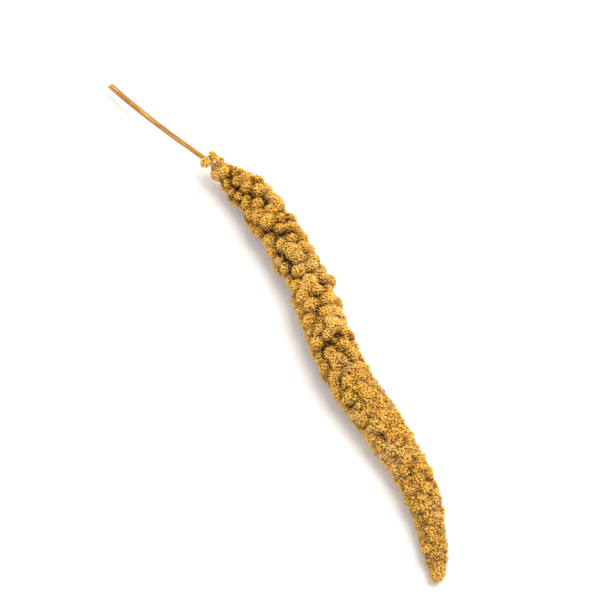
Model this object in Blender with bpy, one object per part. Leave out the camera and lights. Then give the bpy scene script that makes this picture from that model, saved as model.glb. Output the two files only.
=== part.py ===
"""Foxtail millet head, cut with a length of its bare stalk, dried and lying on its side.

Two pieces. The stalk is one straw, from its slanting cut end to its seat in the neck of the head.
The seed head is the body of round seed clusters, set like a honeycomb: big and standing well apart
near the neck, small and tight towards the tip.

Metres, +Z up. The surface that it lies on is Z = 0, and the cut end of the stalk points to -X.
"""

import math
import random

import bmesh
import bpy
from mathutils import Matrix, Vector

MM = 0.001

# Lengths along the middle line, which starts at the cut end of the stalk
BARE_STALK = 90 * MM
HEAD = 278 * MM
WHOLE = BARE_STALK + HEAD
WALK_STEP = 1 * MM
TANGENT_STEPS = 4

# The middle line in plan and in height: its start, then (mm along it, degrees) and (mm along it, mm)
START_X = -182 * MM
START_Y = -20.2 * MM
HEADING = ((0, 13), (95, 19), (130, 1), (200, -13), (222, -10), (262, 3), (290, -1), (345, -22), (368, -25))
HEIGHT = ((0, 6.5), (90, 11.6), (150, 11.9), (205, 13.2), (262, 11.6), (310, 9.5), (345, 7.4), (368, 5.2))

# The head's outer radius in mm, at shares of its length, and its blunt tip
OUTER = ((0, 6.6), (0.06, 10.8), (0.15, 12.7), (0.38, 13.2), (0.6, 12.2), (0.8, 10.4), (0.92, 8.0), (1, 4.4))
TIP = 3 * MM

# The rows of clusters: how many in a row, its pitch as a share of their width, its turn on from the last
AROUND = 7
ROW_SHARE = ((0, 0.93), (0.5, 0.89), (0.7, 0.86), (1, 0.86))
ROW_TURN = math.radians(5)

# How high the clusters stand in mm at shares of the head's length, and how unlike they are
STAND = ((0, 3.6), (0.06, 5.6), (0.38, 6.0), (0.5, 5.0), (0.68, 2.6), (1, 1.6))
FOOT_LEAST = 2.7 * MM
PLACE_JITTER = 0.12
TURN_JITTER = 0.2
SWELLING = 0.08
MISSING = {(0, 1), (0, 2), (0, 4), (0, 6), (1, 3), (1, 5)}
SEED = 11

# A cluster's ball: its rings by latitude where clusters are big and where small, and its lean
FINE_UNTIL = 0.43
FINE_RINGS = (2, 34, 62)
PLAIN_RINGS = (20, 54)
APART = 0.93
LEAN_SHARE = 0.24

# The stalk: its radius at mm along it, how far it is sunk in the head, and the gap round it there
STALK_RADIUS = ((0, 1.75), (70, 1.5), (90, 1.4), (112, 1.3))
SUNK_STALK = 20 * MM
STALK_STEP = 8 * MM
SEAT_GAP = 0.3 * MM

# The stalk's cut end: its slant, the rim left standing, and how far the pith has shrunk back
SLANT = math.radians(40)
RIM = 0.5 * MM
PITH_DEPTH = 0.7 * MM

# Distances below which corners are one and the same
CAP_WELD = 0.01 * MM
CUT_WELD = 0.00001 * MM

# Colour, roughness and the angle above which an edge stays sharp
STRAW = ((0.62, 0.37, 0.10, 1), 0.45, math.radians(40))
SEED_COAT = ((0.50, 0.25, 0.05, 1), 0.55, math.radians(60))


def eased(stations, place):
    """The value at a place among stations of (place, value), level at each station."""
    if place <= stations[0][0]:
        return stations[0][1]
    for (low, first), (high, second) in zip(stations, stations[1:]):
        if place <= high:
            share = (place - low) / (high - low)
            return first + (second - first) * share * share * (3 - 2 * share)
    return stations[-1][1]


def walked_line():
    """Points along the middle line, one at every WALK_STEP from the cut end."""
    x, y = START_X, START_Y
    points = []
    for step in range(round(WHOLE / WALK_STEP) + 1):
        place = step * WALK_STEP / MM
        points.append(Vector((x, y, eased(HEIGHT, place) * MM)))
        heading = math.radians(eased(HEADING, place))
        x += math.cos(heading) * WALK_STEP
        y += math.sin(heading) * WALK_STEP
    return points


LINE = walked_line()


def frame_at(distance):
    """The middle line at a distance from the cut end: its point, its direction, and level sideways."""
    place = min(max(distance / WALK_STEP, 0), len(LINE) - 1.001)
    step = int(place)
    along = (LINE[min(step + TANGENT_STEPS, len(LINE) - 1)] - LINE[max(step - TANGENT_STEPS, 0)]).normalized()
    point = LINE[step].lerp(LINE[step + 1], place - step) + along * max(distance - WHOLE, 0)
    side = Vector((0, 0, 1)).cross(along).normalized()
    return point, along, side


def bent(straight):
    """Where a point of the head goes that was shaped standing straight along +Z."""
    point, along, side = frame_at(BARE_STALK + straight.z)
    return point + side * straight.x + along.cross(side) * straight.y


def outer_radius(place):
    """The head's outer radius at a distance from its neck."""
    return eased(OUTER, place / HEAD) * MM


def widest_radius(outer):
    """How far out a cluster is widest, so that a row of round ones fills the ring."""
    return outer / (1 + math.pi / AROUND)


def foot_radius(place):
    """The radius of the body that the clusters grow out of."""
    return max(FOOT_LEAST, outer_radius(place) - eased(STAND, place / HEAD) * MM)


def row_borders():
    """Distances from the neck at which the rows of clusters meet."""
    borders = [0.0]
    while borders[-1] < HEAD:
        width = 2 * math.pi * widest_radius(outer_radius(borders[-1])) / AROUND
        borders.append(borders[-1] + eased(ROW_SHARE, borders[-1] / HEAD) * width)
    return [border * HEAD / borders[-1] for border in borders]


def ring_and_corner(vert):
    """Which ring of the even tube a corner is on, and which corner of that ring it is."""
    corner = round(math.atan2(vert.co.y, vert.co.x) * AROUND / math.pi) % (2 * AROUND)
    return round(vert.co.z), corner


def honeycomb_tube(rows):
    """A closed tube of even rings whose sides are six-cornered cells, each row half a cell on."""
    work = bmesh.new()
    upwards = Matrix.Translation((0, 0, rows / 2)) @ Matrix.Rotation(-math.pi / 2, 4, "Z")
    bmesh.ops.create_cone(
        work, cap_ends=True, segments=2 * AROUND, radius1=1, radius2=1, depth=rows, matrix=upwards
    )
    upright = [edge for edge in work.edges if abs(edge.verts[0].co.z - edge.verts[1].co.z) > 1]
    bmesh.ops.subdivide_edges(work, edges=upright, cuts=rows - 1, use_grid_fill=True)
    within_cells = []
    for edge in work.edges:
        (ring, corner), (next_ring, _) = sorted(ring_and_corner(vert) for vert in edge.verts)
        if ring != next_ring and (ring + corner) % 2:
            within_cells.append(edge)
    bmesh.ops.dissolve_edges(work, edges=within_cells)
    return work


def place_corners(work, borders):
    """Moves the corners of the cells to the feet of the clusters, and returns each cell's row."""
    draw = random.Random(SEED)
    cells = [face for face in work.faces if len(face.verts) == 6]
    rows = {face: min(ring_and_corner(vert)[0] for vert in face.verts) for face in cells}
    places = {vert: ring_and_corner(vert) for vert in work.verts}
    for vert in sorted(places, key=places.get):
        ring, corner = places[vert]
        pitch = borders[max(ring, 1)] - borders[max(ring, 1) - 1]
        zigzag = pitch / 6 if (ring + corner) % 2 == 0 else -pitch / 6
        shift = zigzag + draw.uniform(-PLACE_JITTER, PLACE_JITTER) * pitch
        aside = draw.uniform(-TURN_JITTER, TURN_JITTER)
        if ring in (0, len(borders) - 1):
            shift = aside = 0
        turn = (corner + aside) * math.pi / AROUND + ring * ROW_TURN
        radius = foot_radius(borders[ring] + shift)
        vert.co = (radius * math.cos(turn), radius * math.sin(turn), borders[ring] + shift)
    return rows


def raise_cluster(work, cell, swelling):
    """Raises a cell into a ball: a ring of corners at each latitude, closing to a top."""
    feet = [loop.vert.co.copy() for loop in cell.loops]
    middle = sum(feet, Vector()) / len(feet)
    outward = Vector((middle.x, middle.y, 0)).normalized()
    outer = outer_radius(middle.z) * swelling
    foot = foot_radius(middle.z)
    widest = max(widest_radius(outer), foot)
    rings = FINE_RINGS if middle.z < FINE_UNTIL * HEAD else PLAIN_RINGS
    for latitude in rings:
        radius = widest + (outer - widest) * math.sin(math.radians(latitude))
        share = APART * math.cos(math.radians(latitude)) * min(1, widest / radius)
        cell = bmesh.ops.extrude_discrete_faces(work, faces=[cell])["faces"][0]
        lean = LEAN_SHARE * (radius - foot)
        for loop, corner in zip(cell.loops, feet):
            aside = Vector((corner.x, corner.y, 0)).normalized()
            place = middle.z + (corner.z - middle.z) * share + lean
            loop.vert.co = outward.lerp(aside, share).normalized() * radius + Vector((0, 0, place))
    top = bmesh.ops.poke(work, faces=[cell])["verts"][0]
    top.co = outward * outer + Vector((0, 0, middle.z + LEAN_SHARE * (outer - foot)))


def raise_clusters(work, rows):
    """Raises every cell but the few that are bare at the neck."""
    draw = random.Random(SEED + 1)
    ordered = sorted(rows, key=lambda cell: (rows[cell], cell_turn(cell)))
    for number, cell in enumerate(ordered):
        swelling = draw.uniform(1 - SWELLING, 1 + SWELLING)
        if (rows[cell], number % AROUND) not in MISSING:
            raise_cluster(work, cell, swelling)


def height_of(face):
    """How far up the standing head a face is."""
    return face.calc_center_median().z


def cell_turn(cell):
    """How far round the head a cell is."""
    middle = cell.calc_center_median()
    return math.atan2(middle.y, middle.x) % (2 * math.pi)


def object_from(work, name, collection):
    """A new object that holds a worked mesh."""
    mesh = bpy.data.meshes.new(name)
    work.to_mesh(mesh)
    work.free()
    made = bpy.data.objects.new(name, mesh)
    collection.objects.link(made)
    return made


def tube(name, distances, radii, collection):
    """A tapering closed tube along the middle line: a bevelled curve, made into a mesh."""
    curve = bpy.data.curves.new(name, "CURVE")
    curve.dimensions = "3D"
    curve.bevel_depth = 1
    curve.bevel_resolution = 3
    curve.use_fill_caps = True
    spline = curve.splines.new("POLY")
    spline.points.add(len(distances) - 1)
    for point, distance, radius in zip(spline.points, distances, radii):
        point.co = (*frame_at(distance)[0], 1)
        point.radius = radius
    guide = bpy.data.objects.new(name + "_line", curve)
    collection.objects.link(guide)
    evaluated = guide.evaluated_get(bpy.context.evaluated_depsgraph_get())
    mesh = bpy.data.meshes.new_from_object(evaluated)
    bpy.data.objects.remove(guide)
    work = bmesh.new()
    work.from_mesh(mesh)
    bmesh.ops.remove_doubles(work, verts=work.verts, dist=CAP_WELD)
    bmesh.ops.recalc_face_normals(work, faces=work.faces)
    return object_from(work, name, collection)


def spaced(first, last, step):
    """Even distances from the first to the last, about a step apart."""
    count = round((last - first) / step)
    return [first + (last - first) * number / count for number in range(count + 1)]


def cut_flat(target, point, direction):
    """Cuts off what lies beyond a plane and closes the cut, and returns the mesh and its new faces."""
    work = bmesh.new()
    work.from_mesh(target.data)
    everything = work.verts[:] + work.edges[:] + work.faces[:]
    cut = bmesh.ops.bisect_plane(
        work, geom=everything, dist=CUT_WELD, plane_co=point, plane_no=direction, clear_outer=True
    )
    edges = [piece for piece in cut["geom_cut"] if isinstance(piece, bmesh.types.BMEdge)]
    caps = bmesh.ops.holes_fill(work, edges=edges, sides=0)["faces"]
    bmesh.ops.recalc_face_normals(work, faces=work.faces)
    return work, caps


def sink_seat(head, cutters):
    """Cuts the hole that the end of the stalk is seated in."""
    distances = spaced(BARE_STALK - STALK_STEP, BARE_STALK + SUNK_STALK + SEAT_GAP, STALK_STEP)
    seat = tube("stalk_seat", distances, [stalk_radius(end) + SEAT_GAP for end in distances], cutters)
    seat.hide_render = True
    seat.display_type = "WIRE"
    cut = head.modifiers.new("stalk_seat", "BOOLEAN")
    cut.operation = "DIFFERENCE"
    cut.object = seat
    bpy.context.view_layer.update()
    evaluated = head.evaluated_get(bpy.context.evaluated_depsgraph_get())
    head.data = bpy.data.meshes.new_from_object(evaluated)
    head.modifiers.clear()
    bpy.data.objects.remove(seat)


def finish(obj, name, colour, roughness, sharp):
    """Gives a piece its material, and smooth shading except at sharp edges."""
    surface = bpy.data.materials.new(name)
    surface.use_nodes = True
    shader = surface.node_tree.nodes["Principled BSDF"]
    shader.inputs["Base Color"].default_value = colour
    shader.inputs["Roughness"].default_value = roughness
    shader.inputs["Metallic"].default_value = 0
    obj.data.materials.clear()
    obj.data.materials.append(surface)
    obj.data.shade_smooth()
    obj.data.set_sharp_from_angle(angle=sharp)


def seed_head(part, cutters):
    """The head: a honeycomb of clusters bent to its line, a seat for the stalk, and flat spots below."""
    borders = row_borders()
    work = honeycomb_tube(len(borders) - 1)
    rows = place_corners(work, borders)
    raise_clusters(work, rows)
    tip = max((face for face in work.faces if len(face.verts) == 2 * AROUND), key=height_of)
    bmesh.ops.poke(work, faces=[tip])["verts"][0].co = (0, 0, HEAD + TIP)
    for vert in work.verts:
        vert.co = bent(vert.co)
    bmesh.ops.recalc_face_normals(work, faces=work.faces)
    head = object_from(work, "seed_head", part)
    sink_seat(head, cutters)
    work, _ = cut_flat(head, (0, 0, 0), (0, 0, -1))
    work.to_mesh(head.data)
    work.free()
    finish(head, "dry_millet_seed", *SEED_COAT)


def stalk_radius(distance):
    """The stalk's radius at a distance from its cut end."""
    return eased(STALK_RADIUS, distance / MM) * MM


def stalk(part):
    """The straw: a tapering tube cut off at a slant, with its soft pith shrunk back a little."""
    distances = spaced(0, BARE_STALK + SUNK_STALK, STALK_STEP)
    straw = tube("stalk", distances, [stalk_radius(distance) for distance in distances], part)
    point, along, side = frame_at(STALK_STEP / 2)
    slanting = Matrix.Rotation(SLANT, 3, side) @ along
    work, caps = cut_flat(straw, point, -slanting)
    bmesh.ops.inset_region(work, faces=caps, thickness=RIM, depth=0)
    for vert in caps[0].verts:
        vert.co += along * PITH_DEPTH
    work.to_mesh(straw.data)
    work.free()
    finish(straw, "dry_straw", *STRAW)


def main():
    """Builds the stalk and the seed head in an empty scene."""
    for obj in list(bpy.data.objects):
        bpy.data.objects.remove(obj)
    part = bpy.data.collections.new("foxtail_millet_head")
    cutters = bpy.data.collections.new("cutters")
    bpy.context.scene.collection.children.link(part)
    bpy.context.scene.collection.children.link(cutters)
    stalk(part)
    seed_head(part, cutters)
    bpy.data.collections.remove(cutters)


main()
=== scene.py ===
# %% [markdown]
# # A foxtail millet head, seed by seed
#
# Foxtail millet carries its grain in a long nodding head. A straw runs up into it, short side
# branches leave the straw all round, and each branch ends in a tight ball of tiny round seeds.
# This lesson dresses a plain solid of such a head: it keeps the solid's shape, and adds the
# thousands of seeds, the fine bristles, the ribbed straw, their colours and the light.
#
# The solid is loaded first. Everything later is placed from it, so nothing has to be fitted.

# %% Load the solid that everything is placed from
import math

import bmesh
import bpy
import numpy as np
from mathutils import Matrix, Vector
from mathutils.kdtree import KDTree


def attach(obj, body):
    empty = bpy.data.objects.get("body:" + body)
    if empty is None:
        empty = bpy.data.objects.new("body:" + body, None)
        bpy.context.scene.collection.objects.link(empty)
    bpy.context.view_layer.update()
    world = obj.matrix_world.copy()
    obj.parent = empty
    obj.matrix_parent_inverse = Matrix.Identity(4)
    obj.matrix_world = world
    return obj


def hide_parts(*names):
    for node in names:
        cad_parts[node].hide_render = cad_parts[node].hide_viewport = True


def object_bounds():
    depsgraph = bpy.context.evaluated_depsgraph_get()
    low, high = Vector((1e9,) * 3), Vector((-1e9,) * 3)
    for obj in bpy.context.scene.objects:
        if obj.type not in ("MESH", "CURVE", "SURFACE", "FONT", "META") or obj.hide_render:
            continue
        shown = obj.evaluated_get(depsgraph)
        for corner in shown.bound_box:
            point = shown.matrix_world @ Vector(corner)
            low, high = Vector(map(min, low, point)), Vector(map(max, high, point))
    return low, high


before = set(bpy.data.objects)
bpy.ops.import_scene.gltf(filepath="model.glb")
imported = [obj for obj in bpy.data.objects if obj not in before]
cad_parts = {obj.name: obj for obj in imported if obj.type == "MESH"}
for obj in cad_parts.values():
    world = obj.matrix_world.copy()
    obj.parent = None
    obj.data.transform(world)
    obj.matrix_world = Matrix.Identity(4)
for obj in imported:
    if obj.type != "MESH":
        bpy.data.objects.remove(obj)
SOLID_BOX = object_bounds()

MM = 0.001
scene = bpy.context.scene
print("Solids:", sorted(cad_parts))
print("Box in mm:", np.round(np.array(SOLID_BOX) / MM, 1).tolist())

# %% [markdown]
# ## Two helpers for everything that follows
#
# A node tree is easier to read when each node is one line: what it is, what feeds it, how it is
# set. The first helper does that for shader trees and geometry trees alike. The second turns a
# colour picked as an sRGB hex value into linear values, because a shader reckons with light, and
# light adds up linearly.

# %% Add a node, and read a colour
NODE_SPACING = 190


def add(tree, kind, feeds=None, **settings):
    """Adds a node. feeds maps its inputs, by name or number, to values, sockets or earlier nodes."""
    made = tree.nodes.new(kind)
    made.location.x = NODE_SPACING * len(tree.nodes)
    for name, value in settings.items():
        setattr(made, name, value)
    for name, value in (feeds or {}).items():
        if isinstance(name, str):
            socket = next(each for each in made.inputs if each.name == name and each.enabled)
        else:
            socket = made.inputs[name]
        if isinstance(value, bpy.types.Node):
            value = next(each for each in value.outputs if each.enabled)
        if isinstance(value, bpy.types.NodeSocket):
            tree.links.new(value, socket)
        else:
            socket.default_value = value
    return made


def linear(code):
    """The linear colour of an sRGB hex value such as "#c78d32"."""
    shares = [int(code[place:place + 2], 16) / 255 for place in (1, 3, 5)]
    bent = [share / 12.92 if share <= 0.04045 else ((share + 0.055) / 1.055) ** 2.4 for share in shares]
    return (*bent, 1)


print("Mid gold is", [round(share, 3) for share in linear("#c78d32")])

# %% [markdown]
# ## The middle line
#
# Seeds lean towards the tip, clusters shrink towards it, and colour fades along it. All of that
# needs to know how far along the head a place is, and which way the tip lies. Following the
# solid's own bends gives both: a heading in plan and a height, each eased between a few places.

# %% Walk the middle line from the cut end to the tip
BARE_STALK = 90 * MM
HEAD = 278 * MM
WALK_STEP = 1 * MM
START = (-182 * MM, -20.2 * MM)
# Millimetres from the cut end, then the heading there in degrees or the height in millimetres
HEADING = (
    (0, 13), (95, 19), (130, 1), (200, -13), (222, -10), (262, 3), (290, -1), (345, -22), (368, -25),
)
HEIGHT = ((0, 6.5), (90, 11.6), (150, 11.9), (205, 13.2), (262, 11.6), (310, 9.5), (345, 7.4), (368, 5.2))


def eased(stations, place):
    """The value at a place among stations of (place, value), level at each station."""
    if place <= stations[0][0]:
        return stations[0][1]
    for (low, first), (high, second) in zip(stations, stations[1:]):
        if place <= high:
            share = (place - low) / (high - low)
            return first + (second - first) * share * share * (3 - 2 * share)
    return stations[-1][1]


def walked_line():
    """Points along the middle line, one at every WALK_STEP from the cut end."""
    x, y = START
    points = []
    for step in range(round((BARE_STALK + HEAD) / WALK_STEP) + 1):
        place = step * WALK_STEP / MM
        points.append((x, y, eased(HEIGHT, place) * MM))
        heading = math.radians(eased(HEADING, place))
        x += math.cos(heading) * WALK_STEP
        y += math.sin(heading) * WALK_STEP
    return np.array(points)


def share_along(step):
    """How far along the seed head a step of the line lies, from 0 at its neck to 1 at its tip."""
    return (step * WALK_STEP - BARE_STALK) / HEAD


LINE = walked_line()
TANGENTS = np.gradient(LINE, axis=0)
TANGENTS /= np.linalg.norm(TANGENTS, axis=1)[:, None]
print("The line ends at", np.round(LINE[-1] / MM, 1), "mm")

# %% [markdown]
# ## Where the clusters stand
#
# The solid has one raised top for each cluster. A top is a corner that lies further from the
# middle line than every corner joined to it, so a short loop finds them all. The solid's mesh is
# loose triangles, and its copy has to be merged before any corner has neighbours. On the
# underside, where the solid is cut flat to lie still, a top may be found more than once, and
# those that are too close together count as one.

# %% Find the cluster tops on the solid
MERGE = 0.001 * MM
TOPS_APART = 3 * MM
CLOSER_AT_TIP = 0.4


def tree_of(points):
    """A search tree over points, which finds the nearest one fast."""
    tree = KDTree(len(points))
    for number, point in enumerate(points):
        tree.insert(point, number)
    tree.balance()
    return tree


LINE_TREE = tree_of(LINE)


def cluster_tops():
    """The outermost point of each raised cluster of the solid head."""
    work = bmesh.new()
    work.from_mesh(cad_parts["seed_head"].data)
    bmesh.ops.remove_doubles(work, verts=work.verts, dist=MERGE)
    reach = {corner: LINE_TREE.find(corner.co)[2] for corner in work.verts}
    found = []
    for corner in sorted(work.verts, key=reach.get, reverse=True):
        along = share_along(LINE_TREE.find(corner.co)[1])
        apart = TOPS_APART * (1 - CLOSER_AT_TIP * max(along, 0))
        is_top = all(reach[corner] >= reach[edge.other_vert(corner)] for edge in corner.link_edges)
        if is_top and all((corner.co - other).length > apart for other in found):
            found.append(corner.co.copy())
    work.free()
    return found


TOPS = cluster_tops()
print("Clusters found:", len(TOPS))

# %% [markdown]
# ## The clusters as one bed
#
# On the real head each cluster is a small ball on its own short branch, and neighbours press
# against each other, so some stay apart and some grow into one lump. Balls placed at the tops and
# then melted together do the same thing. Geometry Nodes make them: a ball on each top, a core
# swept along the middle line, both turned into a volume and back, so that only the outside is
# left. A little noise then dents the balls, because no real cluster is round.
#
# Every tree of this lesson starts with named inputs and ends as plain geometry with its finish,
# so two functions do that for all of them. A tree that is given the solid's box keeps its result
# inside it, so nothing reaches through the table that the head lies on.

# %% Start and end a geometry tree
SOCKET_KINDS = {float: "NodeSocketFloat", int: "NodeSocketInt", tuple: "NodeSocketVector"}
BOX_INPUTS = {"Box low": tuple(SOLID_BOX[0]), "Box high": tuple(SOLID_BOX[1])}


def new_tree(name, inputs):
    """A geometry tree that takes and gives a mesh, with named inputs and a material input."""
    tree = bpy.data.node_groups.new(name, "GeometryNodeTree")
    face = tree.interface
    face.new_socket(name="Mesh", in_out="INPUT", socket_type="NodeSocketGeometry")
    for label, value in inputs.items():
        kind = SOCKET_KINDS[type(value)]
        face.new_socket(name=label, in_out="INPUT", socket_type=kind).default_value = value
    face.new_socket(name="Finish", in_out="INPUT", socket_type="NodeSocketMaterial")
    face.new_socket(name="Mesh", in_out="OUTPUT", socket_type="NodeSocketGeometry")
    return tree, add(tree, "NodeGroupInput").outputs


def end_tree(tree, given, geometry):
    """Ends a tree in plain geometry with its finish, inside the box if it is given one."""
    made = add(tree, "GeometryNodeRealizeInstances", {"Geometry": geometry})
    if "Box low" in given:
        here = add(tree, "GeometryNodeInputPosition")
        above = add(tree, "ShaderNodeVectorMath", {0: here, 1: given["Box low"]}, operation="MAXIMUM")
        inside = add(tree, "ShaderNodeVectorMath", {0: above, 1: given["Box high"]}, operation="MINIMUM")
        made = add(tree, "GeometryNodeSetPosition", {"Geometry": made, "Position": inside})
    finished = add(tree, "GeometryNodeSetMaterial", {"Geometry": made, "Material": given["Finish"]})
    add(tree, "NodeGroupOutput", {0: finished})
    return tree


print("Kinds of input:", *SOCKET_KINDS.values())

# %% Build the tree that melts balls and core into one surface
BED_INPUTS = {"Grain": 0.8 * MM, "Dent": 2.6 * MM, "Dent width": 5.0 * MM, **BOX_INPUTS}
BALL_DIVISIONS = 4
CORE_SIDES = 24
SKIN_AT = 0.1
NOISE_MIDDLE = 0.5


def bed_tree():
    """Puts a ball on every loose point, sweeps a core along the edges, and melts both into one."""
    tree, given = new_tree("Clusters on a core", BED_INPUTS)
    reach, is_ball = (
        add(tree, "GeometryNodeInputNamedAttribute", {"Name": name}) for name in ("reach", "is_ball")
    )
    ball = add(tree, "GeometryNodeMeshIcoSphere", {"Subdivisions": BALL_DIVISIONS})
    balls = add(
        tree, "GeometryNodeInstanceOnPoints",
        {"Points": given["Mesh"], "Selection": is_ball, "Instance": ball, "Scale": reach},
    )
    spine = add(tree, "GeometryNodeMeshToCurve", {"Mesh": given["Mesh"]})
    ring = add(tree, "GeometryNodeCurvePrimitiveCircle", {"Resolution": CORE_SIDES})
    core = add(
        tree, "GeometryNodeCurveToMesh",
        {"Curve": spine, "Profile Curve": ring, "Scale": reach, "Fill Caps": True},
    )
    joined = add(tree, "GeometryNodeJoinGeometry")
    for part in (balls, core):
        tree.links.new(part.outputs[0], joined.inputs[0])
    real = add(tree, "GeometryNodeRealizeInstances", {"Geometry": joined})
    cloud = add(
        tree, "GeometryNodeMeshToVolume",
        {"Mesh": real, "Voxel Size": given["Grain"], "Interior Band Width": given["Grain"]},
        resolution_mode="VOXEL_SIZE",
    )
    skin = add(
        tree, "GeometryNodeVolumeToMesh", {"Volume": cloud, "Threshold": SKIN_AT}, resolution_mode="GRID"
    )

    here = add(tree, "GeometryNodeInputPosition")
    fineness = add(tree, "ShaderNodeMath", {0: 1.0, 1: given["Dent width"]}, operation="DIVIDE")
    noise = add(tree, "ShaderNodeTexNoise", {"Vector": here, "Scale": fineness, "Detail": 1.0})
    centred = add(tree, "ShaderNodeMath", {0: noise, 1: NOISE_MIDDLE}, operation="SUBTRACT")
    dent = add(tree, "ShaderNodeMath", {0: centred, 1: given["Dent"]}, operation="MULTIPLY")
    normal = add(tree, "GeometryNodeInputNormal")
    push = add(tree, "ShaderNodeVectorMath", {0: normal, "Scale": dent}, operation="SCALE")
    dented = add(tree, "GeometryNodeSetPosition", {"Geometry": skin, "Offset": push})
    return end_tree(tree, given, add(tree, "GeometryNodeSetShadeSmooth", {"Geometry": dented}))


BED_TREE = bed_tree()
print("Bed tree:", len(BED_TREE.nodes), "nodes")

# %% [markdown]
# ## From a tree to a plain mesh
#
# A geometry tree only makes its result while its modifier is live. A carrier object holds the
# source mesh and the modifier, the result is copied out as a plain mesh, and the carrier goes, with
# its source if nothing else uses it. A modifier knows its inputs by identifiers, so their names are
# looked up first.

# %% Grow a tree's result as a plain mesh
def grown(source, tree, name, **values):
    """The plain mesh that a geometry tree grows on a source mesh, with inputs set by their names."""
    carrier = bpy.data.objects.new(name + "_carrier", source)
    scene.collection.objects.link(carrier)
    modifier = carrier.modifiers.new(tree.name, "NODES")
    modifier.node_group = tree
    for socket in tree.interface.items_tree:
        if socket.in_out == "INPUT" and socket.name in values:
            modifier[socket.identifier] = values[socket.name]
    evaluated = carrier.evaluated_get(bpy.context.evaluated_depsgraph_get())
    mesh = bpy.data.meshes.new_from_object(evaluated)
    bpy.data.objects.remove(carrier)
    if not source.users:
        bpy.data.meshes.remove(source)
    mesh.name = name
    made = bpy.data.objects.new(name, mesh)
    scene.collection.objects.link(made)
    return made


def triangles(obj):
    """How many triangles a mesh object has."""
    obj.data.calc_loop_triangles()
    return len(obj.data.loop_triangles)


print("The solid head has", triangles(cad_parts["seed_head"]), "triangles")

# %% [markdown]
# ## What the bed is made of
#
# Between the seeds of a real head you look into brown shade: husk remains, branch ends and the
# roots of bristles. It is dry, rough plant matter without any shine. Its colour holds painted shade:
# golden brown further out, and dark brown deep between the clusters.
#
# A painter would lay down a ground colour and glaze it with thin coats of others. The second
# helper here does the same for every material of this lesson. A coat is a pattern, the span over
# which the pattern brings it in, its strength at both ends of that span, and its shade.

# %% Mix the chaff between the seeds
CHAFF_GRAIN = 0.6 * MM
CHAFF_DEPTH = 0.4 * MM
CHAFF_FINISH = {"Roughness": 0.85, "Specular IOR Level": 0.1}


def new_material(name):
    """An empty material, and the tree to build it in."""
    material = bpy.data.materials.new(name)
    material.use_nodes = True
    material.node_tree.nodes.clear()
    return material, material.node_tree


def glazed(tree, colour, coats):
    """Lays coats over a ground colour, each as strong as its pattern says at that place."""
    for pattern, (start, end), (first, last), shade in coats:
        strength = add(
            tree, "ShaderNodeMapRange",
            {"Value": pattern, "From Min": start, "From Max": end, "To Min": first, "To Max": last},
        )
        colour = add(
            tree, "ShaderNodeMix", {"Factor": strength, "A": colour, "B": linear(shade)}, data_type="RGBA"
        )
    return colour


def finished(material, feeds):
    """Gives a material its shader and its output."""
    shader = add(material.node_tree, "ShaderNodeBsdfPrincipled", feeds)
    add(material.node_tree, "ShaderNodeOutputMaterial", {"Surface": shader})
    return material


def chaff():
    """Husk remains and branch ends, dry, rough and dull, with painted shade: golden brown out, dark deep
    down.
    """
    material, tree = new_material("dry_chaff")
    here = add(tree, "ShaderNodeTexCoord").outputs["Object"]
    grain = add(tree, "ShaderNodeTexNoise", {"Vector": here, "Scale": 1 / CHAFF_GRAIN, "Detail": 3.0})
    out = add(tree, "ShaderNodeAttribute", attribute_name="out").outputs["Fac"]
    colour = glazed(tree, linear("#241202"), (
        (out, (0.05, 0.6), (0.0, 1.0), "#84540f"),  # painted shade: golden brown further out, dark brown deep down
        (grain, (0.35, 0.7), (0.0, 0.6), "#a8742a"),  # paler crumbs of husk
    ))
    bump = add(tree, "ShaderNodeBump", {"Height": grain, "Distance": CHAFF_DEPTH})
    return finished(material, {"Base Color": colour, "Normal": bump, **CHAFF_FINISH})


CHAFF = chaff()
print("Chaff:", len(CHAFF.node_tree.nodes), "nodes")

# %% [markdown]
# ## Loose clusters at the neck
#
# A real head doesn't start all at once. Its lowest side branches stand apart on the straw, each a
# short bent twig with a dozen seeds at its end. Each one leaves the straw a golden angle further
# round than the last, as the branches of most plants do, so no two lie in line. Their places are
# worked out here, because the clusters are melted from them and the twigs are swept along them.

# %% Place the loose clusters and their twigs
SPRIGS = 7
SPRIG_FIRST = -12 * MM
SPRIG_LAST = 2 * MM
SPRIG_REACHES = (1.5 * MM, 2.2 * MM)
SPRIG_OUT = (3.9 * MM, 5.2 * MM)
SPRIG_SEED = 12
TWIG_RUN = 3.5 * MM
TWIG_CURVE = 1.5
TWIG_POINTS = 6
GOLDEN_ANGLE = math.radians(137.5)
UP = Vector((0, 0, 1))


def neck_twigs():
    """For each loose cluster, the points of its twig, from inside the straw out to its middle."""
    random = np.random.default_rng(SPRIG_SEED)
    shares = [at / (TWIG_POINTS - 1) for at in range(TWIG_POINTS)]
    twigs = []
    for number in range(SPRIGS):
        place = SPRIG_FIRST + (SPRIG_LAST - SPRIG_FIRST) * number / (SPRIGS - 1)
        step = round((BARE_STALK + place) / WALK_STEP)
        root = Vector(LINE[step])
        ahead = Vector(TANGENTS[step])
        side = UP.cross(ahead).normalized()
        outwards = Matrix.Rotation(GOLDEN_ANGLE * number, 3, ahead) @ side
        height = random.uniform(*SPRIG_OUT)
        twigs.append([
            root + outwards * height * share ** TWIG_CURVE + ahead * TWIG_RUN * share for share in shares
        ])
    return twigs


TWIGS = neck_twigs()
print("Loose clusters:", len(TWIGS))

# %% [markdown]
# ## The balls that make the clusters
#
# Each cluster is a ball as wide as its neighbours leave room for, set in by the height of a seed,
# with a smaller ball below it where its branch comes up. Some clusters carry a twin at their side,
# and the nearer the tip, the more often. The lower half of a real head is felted with far smaller
# clusters than the solid shows, so rings of small lumps fill it out.

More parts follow.
